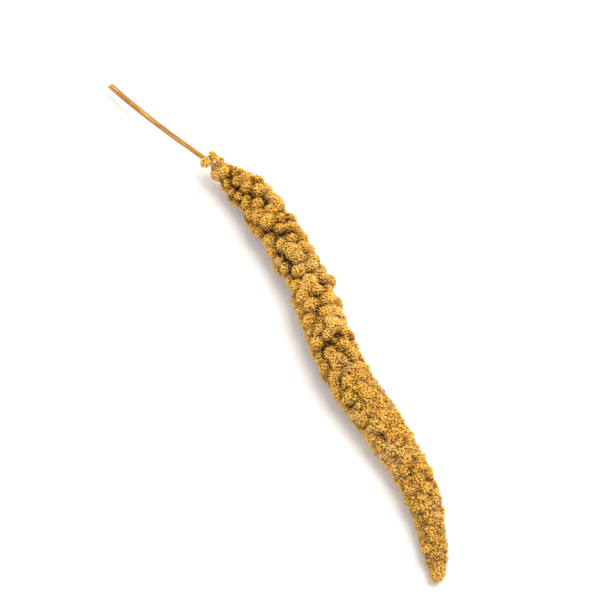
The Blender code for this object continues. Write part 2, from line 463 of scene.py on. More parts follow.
# %% Place the balls of the clusters
SEED_STANDS_OUT = 1.4 * MM
BALL_SHARE = 0.49
BALL_LIMITS = (1.0 * MM, 4.6 * MM)
BALL_SPREAD = (0.84, 1.18)
BALL_SEED = 5
STRAY = 2.0 * MM
STRAY_OUT = 0.4 * MM
NEIGHBOURS = 4
TWIN_CHANCE = ((0.1, 0.1), (0.3, 0.3), (0.5, 0.5))
TWIN_SHARE = (0.6, 0.85)
TWIN_APART = (0.5, 0.9)
BRANCH_DROP = 0.9
BRANCH_SHARE = 0.62


def cluster_balls(random):
    """The balls of each cluster, as pairs of a middle and a reach."""
    tops_tree = tree_of(TOPS)
    balls = []
    for top in TOPS:
        near = sorted(found[2] for found in tops_tree.find_n(top, NEIGHBOURS + 1))[1:]
        spread = random.uniform(*BALL_SPREAD)
        reach = sum(near) / NEIGHBOURS * BALL_SHARE * spread - SEED_STANDS_OUT
        reach = min(max(reach, BALL_LIMITS[0]), BALL_LIMITS[1])
        middle, step = LINE_TREE.find(top)[:2]
        outwards = (top - middle).normalized()
        stray = Vector(random.uniform(-1, 1, 3)) * STRAY * reach / BALL_LIMITS[1]
        stray -= outwards * max(stray.dot(outwards) - STRAY_OUT, 0)
        centre = top - outwards * (SEED_STANDS_OUT + reach) + stray
        balls += [(centre, reach), (centre - outwards * reach * BRANCH_DROP, reach * BRANCH_SHARE)]
        sideways = outwards.cross(Vector(random.uniform(-1, 1, 3))).normalized()
        share = random.uniform(*TWIN_SHARE)
        if random.uniform(0, 1) < eased(TWIN_CHANCE, share_along(step)):
            apart = sideways * reach * random.uniform(*TWIN_APART)
            balls.append((centre + apart + outwards * reach * (1 - share), reach * share))
    return balls


dice = np.random.default_rng(BALL_SEED)
balls = cluster_balls(dice)
print("Balls of the clusters:", len(balls))

# %% Add the small lumps and the loose clusters
LUMP_SPACING = 4.3 * MM
LUMP_RADII = (1.2 * MM, 1.9 * MM)
LUMP_STRAY = 0.7 * MM
LUMP_SHIFT = 0.6
LUMPS_FROM = (0.42, 0.62)
# Share along the head, then how far out its seeds reach there, in millimetres
OUTER = (
    (0, 6.6), (0.06, 10.8), (0.15, 12.7), (0.38, 13.2), (0.6, 12.2), (0.8, 10.4), (0.92, 8.0), (1, 4.4),
)


def small_lumps(random):
    """Rings of small balls round the lower half, which come in gradually."""
    balls = []
    distance = LUMPS_FROM[0] * HEAD
    while distance < HEAD:
        along = distance / HEAD
        step = round((BARE_STALK + distance) / WALK_STEP)
        outer = eased(OUTER, along) * MM
        count = round(math.tau * outer / LUMP_SPACING)
        side = UP.cross(Vector(TANGENTS[step]))
        for number in range(count):
            angle = math.tau * (number + random.uniform(0, LUMP_SHIFT)) / count
            reach = random.uniform(*LUMP_RADII)
            outwards = Matrix.Rotation(angle, 3, TANGENTS[step]) @ side
            centre = Vector(LINE[step]) + outwards * (outer - SEED_STANDS_OUT - reach)
            if random.uniform(*LUMPS_FROM) < along:
                balls.append((centre + Vector(random.uniform(-1, 1, 3)) * LUMP_STRAY, reach))
        distance += LUMP_SPACING
    return balls


def sprig_balls(random):
    """Two balls at the end of each twig, the second one further out."""
    balls = []
    for twig in TWIGS:
        reach = random.uniform(*SPRIG_REACHES)
        ahead = (twig[-1] - twig[-2]).normalized()
        balls += [(twig[-1], reach), (twig[-1] + ahead * reach, reach * TWIN_SHARE[0])]
    return balls


balls += small_lumps(dice)
balls += sprig_balls(dice)
BALLS, BALL_REACHES = zip(*balls)
print("All balls:", len(BALLS))

# %% Melt the balls and the core into the bed
# Share along the head, then how far the clusters stand out from the core there, in millimetres
STAND = ((0, 3.6), (0.06, 5.6), (0.38, 6.0), (0.5, 5.0), (0.68, 2.6), (1, 1.6))
CORE_SUNK = 0.9 * MM
CORE_STEP = 4


def remember(mesh, **remembered):
    """Stores numbers or vectors at the corners of a mesh, under their names."""
    for name, values in remembered.items():
        values = np.asarray(values, "f")
        kind, field = ("FLOAT_VECTOR", "vector") if values.ndim == 2 else ("FLOAT", "value")
        mesh.attributes.new(name, kind, "POINT").data.foreach_set(field, values.ravel())


def path_mesh(name, chains, loose=(), **remembered):
    """A mesh of loose points and of chains of edges, whose points remember values."""
    points, edges = list(loose), []
    for chain in chains:
        edges += [(at, at + 1) for at in range(len(points), len(points) + len(chain) - 1)]
        points += chain
    mesh = bpy.data.meshes.new(name)
    mesh.from_pydata(points, edges, [])
    remember(mesh, **remembered)
    return mesh


steps = range(round(BARE_STALK / WALK_STEP), len(LINE) - CORE_STEP, CORE_STEP)
shares = [share_along(step) for step in steps]
core_reaches = [(eased(OUTER, share) - eased(STAND, share)) * MM - CORE_SUNK for share in shares]
bed_frame = path_mesh(
    "bed_frame", [[LINE[step] for step in steps]], BALLS,
    reach=[*BALL_REACHES, *core_reaches], is_ball=[1] * len(BALLS) + [0] * len(steps),
)
bed = grown(bed_frame, BED_TREE, "seed_bed", Finish=CHAFF)
print("Bed:", triangles(bed), "triangles")

# %% [markdown]
# ## What each place on the bed remembers
#
# Seeds and colours need to know where on the head they are. The bed tells them through
# attributes, one value for each corner: how far along the head it lies, how far out from the core,
# how high on its own cluster, which shade that cluster has, and which way the tip is. Scattered
# seeds inherit what the bed remembers below them.

# %% Let the bed remember where each corner lies
CLUSTER_SHADE_SEED = 9
# Within this many steps of the tip the clusters are too small to shade each other
TIP_STEPS = 16


def mark_bed(mesh):
    """Stores along, out, rise, lobe and tipwards at each corner of the bed."""
    points = np.empty((len(mesh.vertices), 3))
    mesh.vertices.foreach_get("co", points.ravel())
    nearest = np.array([LINE_TREE.find(point)[1] for point in points])
    along = share_along(nearest)
    radius = np.linalg.norm(points - LINE[nearest], axis=1)
    outer = np.array([eased(OUTER, place) for place in along]) * MM - SEED_STANDS_OUT
    stand = np.array([eased(STAND, place) for place in along]) * MM

    reaches = np.array(BALL_REACHES)
    balls_tree = tree_of(BALLS)
    near = [balls_tree.find_n(point, NEIGHBOURS) for point in points]
    own = np.array([min(found, key=lambda ball: ball[2] - reaches[ball[1]])[1] for found in near])
    outwards = (points - LINE[nearest]) / radius[:, None]
    rise = ((points - np.array(BALLS)[own]) * outwards).sum(axis=1) / reaches[own]
    rise = np.maximum(rise, 1 - (len(LINE) - 1 - nearest) / TIP_STEPS)
    # The last balls are the loose clusters, two on each twig, and have nothing beside them
    rise[own >= len(BALLS) - 2 * len(TWIGS)] = 1

    shades = np.random.default_rng(CLUSTER_SHADE_SEED).uniform(0, 1, len(BALLS))
    remember(
        mesh, along=along, out=(radius - outer + stand) / stand, rise=rise, lobe=shades[own],
        tipwards=TANGENTS[nearest],
    )


mark_bed(bed.data)
print("The bed remembers:", sorted(slot.name for slot in bed.data.attributes if not slot.is_internal))

# %% [markdown]
# ## Seeds, thousands of them
#
# A millet seed is an egg about 2 mm long, blunt at both ends. No two neighbours are alike in size,
# turn or shade, and they sit as close as they can without any order. Geometry Nodes fit that
# exactly: a Poisson scatter keeps every seed one spacing away from the next, and random values
# with a fixed seed vary each copy. Bristles and chaff grow the same way, so the scattering part of
# the tree is written once, and only the small shape that it copies differs.

# %% Choose the points where copies grow
SEED_SPACING = 0.94 * MM
SEED_SIZES = (0.86, 1.12)
SCATTER_INPUTS = {
    "From": -1.0, "To": 2.0, "Spacing": SEED_SPACING, "Crowding": 3.5, "Lowest rise": -0.2,
    "Lean": 0.35, "Stray": 0.3, "Least size": SEED_SIZES[0], "Most size": SEED_SIZES[1],
    "Scatter seed": 3, **BOX_INPUTS,
}
RISE_FADE = 0.25


def chosen_points(tree, given):
    """Points over a stretch of the head, fewer deep between clusters, and which way is out there."""
    along, rise = (
        add(tree, "GeometryNodeInputNamedAttribute", {"Name": name}) for name in ("along", "rise")
    )
    lowest = given["Lowest rise"]
    full = add(tree, "ShaderNodeMath", {0: lowest, 1: RISE_FADE}, operation="ADD")
    room = add(tree, "ShaderNodeMapRange", {"Value": rise, "From Min": lowest, "From Max": full})
    area = add(tree, "ShaderNodeMath", {0: given["Spacing"], 1: 2.0}, operation="POWER")
    crowding = add(tree, "ShaderNodeMath", {0: given["Crowding"], 1: area}, operation="DIVIDE")
    scatter = add(
        tree, "GeometryNodeDistributePointsOnFaces",
        {"Mesh": given["Mesh"], "Distance Min": given["Spacing"], "Density Max": crowding,
         "Density Factor": room, "Seed": given["Scatter seed"]},
        distribute_method="POISSON",
    )
    before = add(tree, "FunctionNodeCompare", {"A": along, "B": given["From"]}, operation="LESS_THAN")
    beyond = add(tree, "FunctionNodeCompare", {"A": along, "B": given["To"]}, operation="GREATER_EQUAL")
    elsewhere = add(tree, "FunctionNodeBooleanMath", {0: before, 1: beyond}, operation="OR")
    points, normal = scatter.outputs["Points"], scatter.outputs["Normal"]
    return add(tree, "GeometryNodeDeleteGeometry", {"Geometry": points, "Selection": elsewhere}), normal


print("Inputs of a scattering tree:", ", ".join(SCATTER_INPUTS))

# %% Turn each copy its own way
STRAY_SEED, TURN_SEED, SIZE_SEED, SHADE_SEED = 5, 6, 7, 8


def turned(tree, given, normal):
    """How each copy is turned: out of the cluster, towards the tip, and a little anyhow."""
    ahead = add(tree, "GeometryNodeInputNamedAttribute", {"Name": "tipwards"}, data_type="FLOAT_VECTOR")
    leaning = add(
        tree, "ShaderNodeVectorMath", {0: ahead, 1: given["Lean"], 2: normal}, operation="MULTIPLY_ADD"
    )
    cube = {"Min": (-1, -1, -1), "Max": (1, 1, 1), "Seed": STRAY_SEED}
    anyhow = add(tree, "FunctionNodeRandomValue", cube, data_type="FLOAT_VECTOR")
    pointing = add(
        tree, "ShaderNodeVectorMath", {0: anyhow, 1: given["Stray"], 2: leaning}, operation="MULTIPLY_ADD"
    )
    aimed = add(tree, "FunctionNodeAlignRotationToVector", {"Vector": pointing}, axis="Z")
    circle = {"Min": 0.0, "Max": math.tau, "Seed": TURN_SEED}
    turn = add(tree, "FunctionNodeRandomValue", circle)
    spin = add(tree, "FunctionNodeAxisAngleToRotation", {"Axis": (0, 0, 1), "Angle": turn})
    return add(
        tree, "FunctionNodeRotateRotation", {"Rotation": aimed, "Rotate By": spin}, rotation_space="LOCAL"
    )


def scatter_tree(name, inputs, shape):
    """Scatters copies of a shape over a mesh, each with its own turn, size and shade."""
    tree, given = new_tree(name, {**SCATTER_INPUTS, **inputs})
    points, normal = chosen_points(tree, given)
    sizes = {"Min": given["Least size"], "Max": given["Most size"], "Seed": SIZE_SEED}
    size = add(tree, "FunctionNodeRandomValue", sizes)
    copies = add(
        tree, "GeometryNodeInstanceOnPoints",
        {"Points": points, "Instance": shape(tree, given), "Rotation": turned(tree, given, normal),
         "Scale": size},
    )
    shade = add(tree, "FunctionNodeRandomValue", {"Seed": SHADE_SEED})
    shaded = add(
        tree, "GeometryNodeStoreNamedAttribute", {"Geometry": copies, "Name": "tint", "Value": shade},
        domain="INSTANCE",
    )
    return end_tree(tree, given, shaded)


print("Random seeds:", STRAY_SEED, TURN_SEED, SIZE_SEED, SHADE_SEED)

# %% [markdown]
# ## The egg
#
# A seed starts as a ball with few sides, because there are thousands. It is drawn out to its size
# across, through and along, and the further a corner lies from the waist, the more it is moved
# outwards, which makes the ends blunt. Every corner also remembers how far up the egg and how far
# to its side it lies, for the painted shade at the seed's root, the painted highlight at its free
# end, and the seam along one side.

# %% Build the egg
EGG_INPUTS = {"Size": (1.5 * MM, 1.35 * MM, 1.98 * MM), "Lift": (0, 0, 0.4 * MM)}
EGG_BLUNT = 0.36
BALL_RADIUS = 0.5


def shaped(tree, shape, place, **remembered):
    """Lets each corner of a small shape remember values, and then moves it to its place."""
    for name, value in remembered.items():
        stored = {"Geometry": shape, "Name": name, "Value": value}
        shape = add(tree, "GeometryNodeStoreNamedAttribute", stored)
    moved = add(tree, "GeometryNodeSetPosition", {"Geometry": shape, "Position": place})
    return add(tree, "GeometryNodeSetShadeSmooth", {"Geometry": moved})


def egg(tree, given):
    """A seed of 48 triangles, blunt at its ends."""
    ball = add(tree, "GeometryNodeMeshUVSphere", {"Segments": 8, "Rings": 4, "Radius": BALL_RADIUS})
    here = add(tree, "GeometryNodeInputPosition")
    parts = add(tree, "ShaderNodeSeparateXYZ", {0: here}).outputs
    from_waist = add(tree, "ShaderNodeMath", {0: parts[2]}, operation="ABSOLUTE")
    blunt = add(tree, "ShaderNodeMath", {0: from_waist, 1: EGG_BLUNT, 2: 1.0}, operation="MULTIPLY_ADD")
    wider = add(tree, "ShaderNodeCombineXYZ", {0: blunt, 1: blunt, 2: 1.0})
    size = add(tree, "ShaderNodeVectorMath", {0: given["Size"], 1: wider}, operation="MULTIPLY")
    place = add(
        tree, "ShaderNodeVectorMath", {0: here, 1: size, 2: given["Lift"]}, operation="MULTIPLY_ADD"
    )
    height = add(tree, "ShaderNodeMath", {0: parts[2], 1: BALL_RADIUS}, operation="ADD")
    return shaped(tree, ball, place, side=parts[1], tip=height)


SEED_TREE = scatter_tree("Seeds on the clusters", EGG_INPUTS, egg)
print("Seed tree:", len(SEED_TREE.nodes), "nodes")

# %% [markdown]
# ## What a ripe seed looks like
#
# The coat of foxtail millet is a thin, hard, slightly shiny husk, golden to orange. Painted shade
# makes each seed darker down where it is attached and dark brown deep between the clusters, and
# painted highlights make the top of each cluster paler and each seed's free end pale. Seen close,
# every seed has its own shade, a seam where the two halves of its husk meet, and fine brown flecks.
# Whole patches ripen more orange, and others look dusty. The material draws all of it from what the
# mesh remembers, and from two noises, one 20 mm wide for the patches and one 0.3 mm wide for the
# flecks. Towards the tip the seeds are felted together, so differences within a cluster fade there.

# %% Mix the seed coat
SEED_SHADES = ((0.0, "#ae6e0a"), (0.2, "#d29216"), (0.55, "#e8af2c"), (0.82, "#f0bf48"), (1.0, "#f9e0a4"))
# Brown of the painted shade at each seed's root, and of its real seam and flecks
SHADOW_SEAM_AND_FLECK_BROWN = "#9c6711"
SHARE_OF_CLUSTER = 0.3
PATCH_WIDTH = 20 * MM
SEAM_AT = 0.175
SEAM_WIDTH = 0.08
SEAM_STRENGTH = 0.55
WRINKLE_WIDTH = 0.3 * MM
WRINKLE_DEPTH = 0.06 * MM
FELTED = {"From Min": 0.45, "From Max": 0.85, "To Min": 1.0, "To Max": 0.85}
# Strengths of painted top light, painted root shade and painted deep shade, before felt weakens them
FELTED_STRENGTHS = (0.5, 0.8, 0.93)
COAT_FINISH = {"Roughness": 0.5, "IOR": 1.45, "Specular IOR Level": 0.2}


def seed_coat():
    """Dry millet husk, thin, hard and smooth, so it gives each golden seed a soft light."""
    material, tree = new_material("dry_millet_husk")
    tint, lobe, along, rise, tip, side = (
        add(tree, "ShaderNodeAttribute", attribute_name=name).outputs["Fac"]
        for name in ("tint", "lobe", "along", "rise", "tip", "side")
    )
    own = add(tree, "ShaderNodeMix", {"Factor": SHARE_OF_CLUSTER, "A": tint, "B": lobe})
    ramp = add(tree, "ShaderNodeValToRGB", {0: own})
    points = ramp.color_ramp.elements
    while len(points) < len(SEED_SHADES):
        points.new(0.5)
    for point, (place, code) in zip(points, SEED_SHADES):
        point.position = place
        point.color = linear(code)

    here = add(tree, "ShaderNodeTexCoord").outputs["Object"]
    slow = add(tree, "ShaderNodeTexNoise", {"Vector": here, "Scale": 1 / PATCH_WIDTH, "Detail": 2.0})
    wrinkle = add(tree, "ShaderNodeTexNoise", {"Vector": here, "Scale": 1 / WRINKLE_WIDTH, "Detail": 2.0})
    beside = add(tree, "ShaderNodeMath", {0: side, 1: SEAM_AT}, operation="SUBTRACT")
    apart = add(tree, "ShaderNodeMath", {0: beside}, operation="ABSOLUTE")
    seam = add(
        tree, "ShaderNodeMapRange",
        {"Value": apart, "From Max": SEAM_WIDTH, "To Min": SEAM_STRENGTH, "To Max": 0.0},
    )
    felted = add(tree, "ShaderNodeMapRange", {"Value": along, **FELTED})
    # Painted top light, painted shade at each seed's root and painted shade deep between clusters,
    # weakened by felt
    painted_top_light, root, painted_deep_shade = (
        add(tree, "ShaderNodeMath", {0: felted, 1: strength}, operation="MULTIPLY")
        for strength in FELTED_STRENGTHS
    )
    colour = glazed(tree, ramp.outputs[0], (
        (slow, (0.5, 0.7), (0.0, 0.5), "#c27a22"),  # patches that ripened more orange
        (slow, (0.3, 0.5), (0.5, 0.0), "#ecc07a"),  # dusty patches
        (along, (0.75, 0.98), (0.0, 0.6), "#bf944a"),  # duller towards the tip of the head
        (rise, (0.7, 1.0), (0.0, painted_top_light), "#fbce60"),  # painted highlight on top of each cluster
        (tip, (0.2, 0.6), (root, 0.0), SHADOW_SEAM_AND_FLECK_BROWN),  # painted shade, darker where the seed is attached
        (tip, (0.88, 1.0), (0.0, 0.45), "#fbe8b8"),  # painted highlight at the seed's free end
        (rise, (0.0, 0.85), (painted_deep_shade, 0.0), "#3a1d00"),  # painted shade deep between clusters
        (seam, (0.0, 1.0), (0.0, 1.0), SHADOW_SEAM_AND_FLECK_BROWN),  # the seam between the halves of the husk
        (wrinkle, (0.5, 0.75), (0.0, 0.5), SHADOW_SEAM_AND_FLECK_BROWN),  # fine flecks
    ))
    groove = add(tree, "ShaderNodeMath", {0: wrinkle, 1: seam}, operation="SUBTRACT")
    bump = add(tree, "ShaderNodeBump", {"Height": groove, "Strength": 0.6, "Distance": WRINKLE_DEPTH})
    return finished(material, {"Base Color": colour, "Normal": bump, **COAT_FINISH})


HUSK = seed_coat()
print("Seed coat:", len(HUSK.node_tree.nodes), "nodes")

# %% [markdown]
# ## Growing the seeds
#
# One mesh of all the seeds would be too heavy, so they grow in five stretches. Towards the tip
# the seeds are a little smaller and point more and more anyhow, as felt does.

# %% Grow the seeds, in stretches of the head
# Its name, where it starts and ends along the head, the size of its seeds, and how much they stray
STRETCHES = (
    ("seeds_neck", -1.0, 0.18, 1.0, 0.3),
    ("seeds_upper", 0.18, 0.36, 1.0, 0.3),
    ("seeds_middle", 0.36, 0.55, 1.0, 0.35),
    ("seeds_lower", 0.55, 0.75, 1.0, 0.55),
    ("seeds_tip", 0.75, 2.0, 0.97, 0.75),
)

seeds = []
for name, start, end, size, stray in STRETCHES:
    seeds.append(grown(
        bed.data, SEED_TREE, name, Finish=HUSK,
        **{"From": start, "To": end, "Spacing": SEED_SPACING * size, "Least size": SEED_SIZES[0] * size,
           "Most size": SEED_SIZES[1] * size, "Stray": stray},
    ))
    print(name, triangles(seeds[-1]), "triangles")

# %% [markdown]
# ## Chaff scales and bristles
#
# Each seed sat between two thin papery scales, and each little branch ends in a bristle. On a ripe
# head most of that has dried to pale flakes and short hairs that stick out between the seeds. They
# are too small to make one by one, but without them the seeds look like a string of beads. Both
# come from the same scattering tree: a scale is a flattened ball of 24 triangles, and a bristle a
# bent three-sided spike of 16. The felted lower half has more bristles, which are shorter.

# %% Build the scale and the bristle
SCALE_INPUTS = {"Size": (0.95 * MM, 0.14 * MM, 1.7 * MM), "Cup": 0.95 * MM, "Lift": 0.75 * MM}
BRISTLE_INPUTS = {"Length": 3.6 * MM, "Thickness": 0.11 * MM, "Bend": 1.0 * MM}


def scale(tree, given):
    """A cupped flake of 24 triangles, widest at its middle."""
    ball = add(tree, "GeometryNodeMeshUVSphere", {"Segments": 4, "Rings": 4, "Radius": BALL_RADIUS})
    here = add(tree, "GeometryNodeInputPosition")
    up = add(tree, "ShaderNodeSeparateXYZ", {0: here}).outputs[2]
    squared = add(tree, "ShaderNodeMath", {0: up, 1: up}, operation="MULTIPLY")
    cup = add(tree, "ShaderNodeMath", {0: squared, 1: given["Cup"]}, operation="MULTIPLY")
    lift = add(tree, "ShaderNodeCombineXYZ", {1: cup, 2: given["Lift"]})
    place = add(
        tree, "ShaderNodeVectorMath", {0: here, 1: given["Size"], 2: lift}, operation="MULTIPLY_ADD"
    )
    height = add(tree, "ShaderNodeMath", {0: up, 1: BALL_RADIUS}, operation="ADD")
    return shaped(tree, ball, place, tip=height)


def bristle(tree, given):
    """A bent spike of 16 triangles."""
    spike = add(
        tree, "GeometryNodeMeshCone",
        {"Vertices": 3, "Side Segments": 3, "Radius Top": 0.0, "Radius Bottom": given["Thickness"],
         "Depth": given["Length"]},
    )
    parts = add(tree, "ShaderNodeSeparateXYZ", {0: add(tree, "GeometryNodeInputPosition")}).outputs
    height = add(tree, "ShaderNodeMath", {0: parts[2], 1: given["Length"]}, operation="DIVIDE")
    squared = add(tree, "ShaderNodeMath", {0: height, 1: height}, operation="MULTIPLY")
    x = add(tree, "ShaderNodeMath", {0: squared, 1: given["Bend"], 2: parts[0]}, operation="MULTIPLY_ADD")
    place = add(tree, "ShaderNodeCombineXYZ", {0: x, 1: parts[1], 2: parts[2]})
    return shaped(tree, spike, place, tip=height)


SCALE_TREE = scatter_tree("Chaff scales", SCALE_INPUTS, scale)
BRISTLE_TREE = scatter_tree("Bristles", BRISTLE_INPUTS, bristle)
print("Scale and bristle trees:", len(SCALE_TREE.nodes), "and", len(BRISTLE_TREE.nodes), "nodes")


# %% Mix the dry bristle and scale
def dry_bristle():
    """Dried plant hair and papery scale, dull as paper: pale straw, browner at the root."""
    material, tree = new_material("dry_bristle")
    tint, tip = (
        add(tree, "ShaderNodeAttribute", attribute_name=name).outputs["Fac"] for name in ("tint", "tip")
    )
    colour = glazed(tree, linear("#b98a3c"), (
        (tint, (0.0, 1.0), (0.0, 1.0), "#ecd09a"),  # each one its own shade of straw
        (tip, (0.0, 0.6), (0.8, 0.0), "#7a5216"),  # browner at the root
    ))
    return finished(material, {"Base Color": colour, "Roughness": 0.6})


BRISTLE = dry_bristle()
print("Bristle:", len(BRISTLE.node_tree.nodes), "nodes")

# %% Grow scales and bristles
DRY_BITS = (
    (SCALE_TREE, "chaff_scales", {
        "Spacing": 2.4 * MM, "Lean": 0.5, "Stray": 0.6, "Lowest rise": -0.6, "Scatter seed": 21,
        "Least size": 0.7,
    }),
    (BRISTLE_TREE, "bristles", {
        "Spacing": 2.1 * MM, "Lean": 0.8, "Stray": 0.5, "Lowest rise": -0.8, "Scatter seed": 22,
        "Least size": 0.6, "Most size": 1.1,
    }),
    (BRISTLE_TREE, "tip_bristles", {
        "From": 0.5, "Spacing": 1.35 * MM, "Length": 2.8 * MM, "Thickness": 0.1 * MM, "Lean": 0.6,
        "Stray": 0.7, "Lowest rise": -0.8, "Scatter seed": 23, "Least size": 0.7, "Most size": 1.1,
    }),
)

dry_bits = [grown(bed.data, tree, name, Finish=BRISTLE, **values) for tree, name, values in DRY_BITS]
for piece in dry_bits:
    print(piece.name, triangles(piece), "triangles")

# %% [markdown]
# ## The straw
#
# The stalk is a dried stem: a tube with fine ribs that run its length, thinner towards the head,
# and cut off at a slant. A ring of points swept along the middle line gives the tube, and a ripple
# on the ring gives the ribs, so Curve to Mesh does the work. The twigs of the loose clusters are
# swept by the same tree, without ribs.

# %% Build the tree that sweeps the ribbed straw
STRAW_INPUTS = {"Sides": 88, "Ribs": 11, "Depth": 0.05}
RING_SIZE = 0.95


def straw_tree():
    """Sweeps a rippled ring along a line of edges whose points remember a radius."""
    tree, given = new_tree("Ribbed straw", STRAW_INPUTS)
    radius = add(tree, "GeometryNodeInputNamedAttribute", {"Name": "thickness"})
    line = add(tree, "GeometryNodeMeshToCurve", {"Mesh": given["Mesh"]})
    ring = add(tree, "GeometryNodeCurvePrimitiveCircle", {"Resolution": given["Sides"]})
    place = add(tree, "GeometryNodeInputPosition")
    parts = add(tree, "ShaderNodeSeparateXYZ", {0: place}).outputs
    turn = add(tree, "ShaderNodeMath", {0: parts[1], 1: parts[0]}, operation="ARCTAN2")
    beat = add(tree, "ShaderNodeMath", {0: turn, 1: given["Ribs"]}, operation="MULTIPLY")
    ripple = add(tree, "ShaderNodeMath", {0: beat}, operation="COSINE")
    swell = add(
        tree, "ShaderNodeMath", {0: ripple, 1: given["Depth"], 2: RING_SIZE}, operation="MULTIPLY_ADD"
    )
    rippled = add(tree, "ShaderNodeVectorMath", {0: place, "Scale": swell}, operation="SCALE")
    ribbed = add(tree, "GeometryNodeSetPosition", {"Geometry": ring, "Position": rippled})
    down = add(tree, "GeometryNodeSplineParameter").outputs["Length"]
    marked_line = add(
        tree, "GeometryNodeStoreNamedAttribute", {"Geometry": line, "Name": "down", "Value": down}
    )
    marked_ring = add(
        tree, "GeometryNodeStoreNamedAttribute", {"Geometry": ribbed, "Name": "round", "Value": place},
        data_type="FLOAT_VECTOR",
    )
    swept = add(
        tree, "GeometryNodeCurveToMesh",
        {"Curve": marked_line, "Profile Curve": marked_ring, "Scale": radius, "Fill Caps": True},
    )
    return end_tree(tree, given, add(tree, "GeometryNodeSetShadeSmooth", {"Geometry": swept}))


STRAW_TREE = straw_tree()
print("Straw tree:", len(STRAW_TREE.nodes), "nodes")

# %% [markdown]
# ## What the straw is made of
#
# The skin of a dried stem is smooth and takes a gloss, like thin varnish, so it gets a clear coat.
# Its gold is streaked lengthwise, lighter and darker, and the palest streaks are partly painted
# highlight. Stretching a noise gives such streaks: as many of its waves fit into the straw's radius
# as into 45 mm of its length. The pith, which only shows at the cut, is a pale foam of cells too
# fine to see, so they are drawn 0.28 mm wide.

# %% Mix the straw's skin and its pith
STREAKS = 3.5
STREAKS_SPAN = 45 * MM
STREAK_DEPTH = 0.1 * MM
DULL_WIDTH = 9 * MM
PITH_CELL = 0.28 * MM
STRAW_FINISH = {"Roughness": 0.34, "IOR": 1.5, "Coat Weight": 0.2, "Coat Roughness": 0.22}


def dry_straw():
    """Dried stem with its waxy skin, which gives a soft gloss: gold, streaked along its length."""
    material, tree = new_material("dry_straw")
    here = add(tree, "ShaderNodeTexCoord").outputs["Object"]
    down = add(tree, "ShaderNodeAttribute", attribute_name="down").outputs["Fac"]
    slowly = add(tree, "ShaderNodeMath", {0: down, 1: STREAKS_SPAN}, operation="DIVIDE")
    onwards = add(tree, "ShaderNodeCombineXYZ", {2: slowly})
    ring = add(tree, "ShaderNodeAttribute", attribute_name="round").outputs["Vector"]
    lengthwise = add(tree, "ShaderNodeVectorMath", {0: ring, 1: onwards}, operation="ADD")
    streak = add(
        tree, "ShaderNodeTexNoise",
        {"Vector": lengthwise, "Scale": STREAKS, "Detail": 4.0, "Roughness": 0.62},
    )
    cloud = add(tree, "ShaderNodeTexNoise", {"Vector": here, "Scale": 1 / DULL_WIDTH, "Detail": 2.0})
    colour = glazed(tree, linear("#8a5604"), (
        (streak, (0.36, 0.62), (0.0, 1.0), "#cc8e14"),  # gold between brown streaks
        (streak, (0.55, 0.68), (0.0, 1.0), "#fbdc96"),  # the palest streaks, partly real and partly painted highlight
        (cloud, (0.5, 0.75), (0.0, 0.5), "#8a5712"),  # dull places
    ))
    bump = add(tree, "ShaderNodeBump", {"Height": streak, "Strength": 0.35, "Distance": STREAK_DEPTH})
    return finished(material, {"Base Color": colour, "Normal": bump, **STRAW_FINISH})


def pith():
    """The soft foam inside the stem, pale and quite dull."""
    material, tree = new_material("stem_pith")
    here = add(tree, "ShaderNodeTexCoord").outputs["Object"]
    cells = add(tree, "ShaderNodeTexVoronoi", {"Vector": here, "Scale": 1 / PITH_CELL})
    colour = glazed(tree, linear("#c8a464"), ((cells, (0.1, 0.6), (0.0, 1.0), "#f3e2bc"),))
    return finished(material, {"Base Color": colour, "Roughness": 0.9})


STRAW = dry_straw()
PITH = pith()
print("Straw and pith:", len(STRAW.node_tree.nodes), "and", len(PITH.node_tree.nodes), "nodes")

# %% Sweep the straw and the twigs
# Millimetres from the cut end, then the straw's radius there in millimetres
STALK_RADIUS = ((0, 1.75), (70, 1.5), (90, 1.4), (112, 1.3))
SUNK_STALK = 20 * MM
STRAW_STEP = 2 * MM
TWIG_RADIUS = 0.36 * MM
TWIG_FLARE = 0.7
TWIG_SIDES = 14


steps = range(0, round((BARE_STALK + SUNK_STALK) / WALK_STEP) + 1, round(STRAW_STEP / WALK_STEP))
radii = [eased(STALK_RADIUS, step * WALK_STEP / MM) * MM for step in steps]
straw_path = path_mesh("straw_path", [[LINE[step] for step in steps]], thickness=radii)
straw = grown(straw_path, STRAW_TREE, "straw", Finish=STRAW)

# A twig is thicker where it leaves the straw
flares = [1 + TWIG_FLARE * (1 - at / (TWIG_POINTS - 1)) ** 2 for at in range(TWIG_POINTS)]
radii = [TWIG_RADIUS * flare for flare in flares] * len(TWIGS)
twig_paths = path_mesh("twig_paths", TWIGS, thickness=radii)
twigs = grown(twig_paths, STRAW_TREE, "neck_twigs", Finish=STRAW, Sides=TWIG_SIDES, Depth=0.0)
print("Uncut straw and twigs:", triangles(straw), "and", triangles(twigs), "triangles")

# %% [markdown]
# ## The cut end
#
# A stem that is cut with shears ends in a slant. The hard skin leaves a rim there, and the soft
# pith inside it shrinks as it dries. A plane that slices the mesh is the shortest way to the
# slant. The new face is then drawn inwards ring by ring: first the rim, then down into the hollow,
# over the bulge of the pith, and into its middle.

# %% Cut the straw's end off at a slant
SLANT = math.radians(39)
CUT_AT = 4 * MM
CUT_SNAP = 0.01 * MM
# Each ring's size as a share of the last one, and how far down the straw it is pushed
CUT_RINGS = ((0.76, 0), (0.95, 0.6 * MM), (0.6, -0.1 * MM), (0.5, 0.25 * MM))


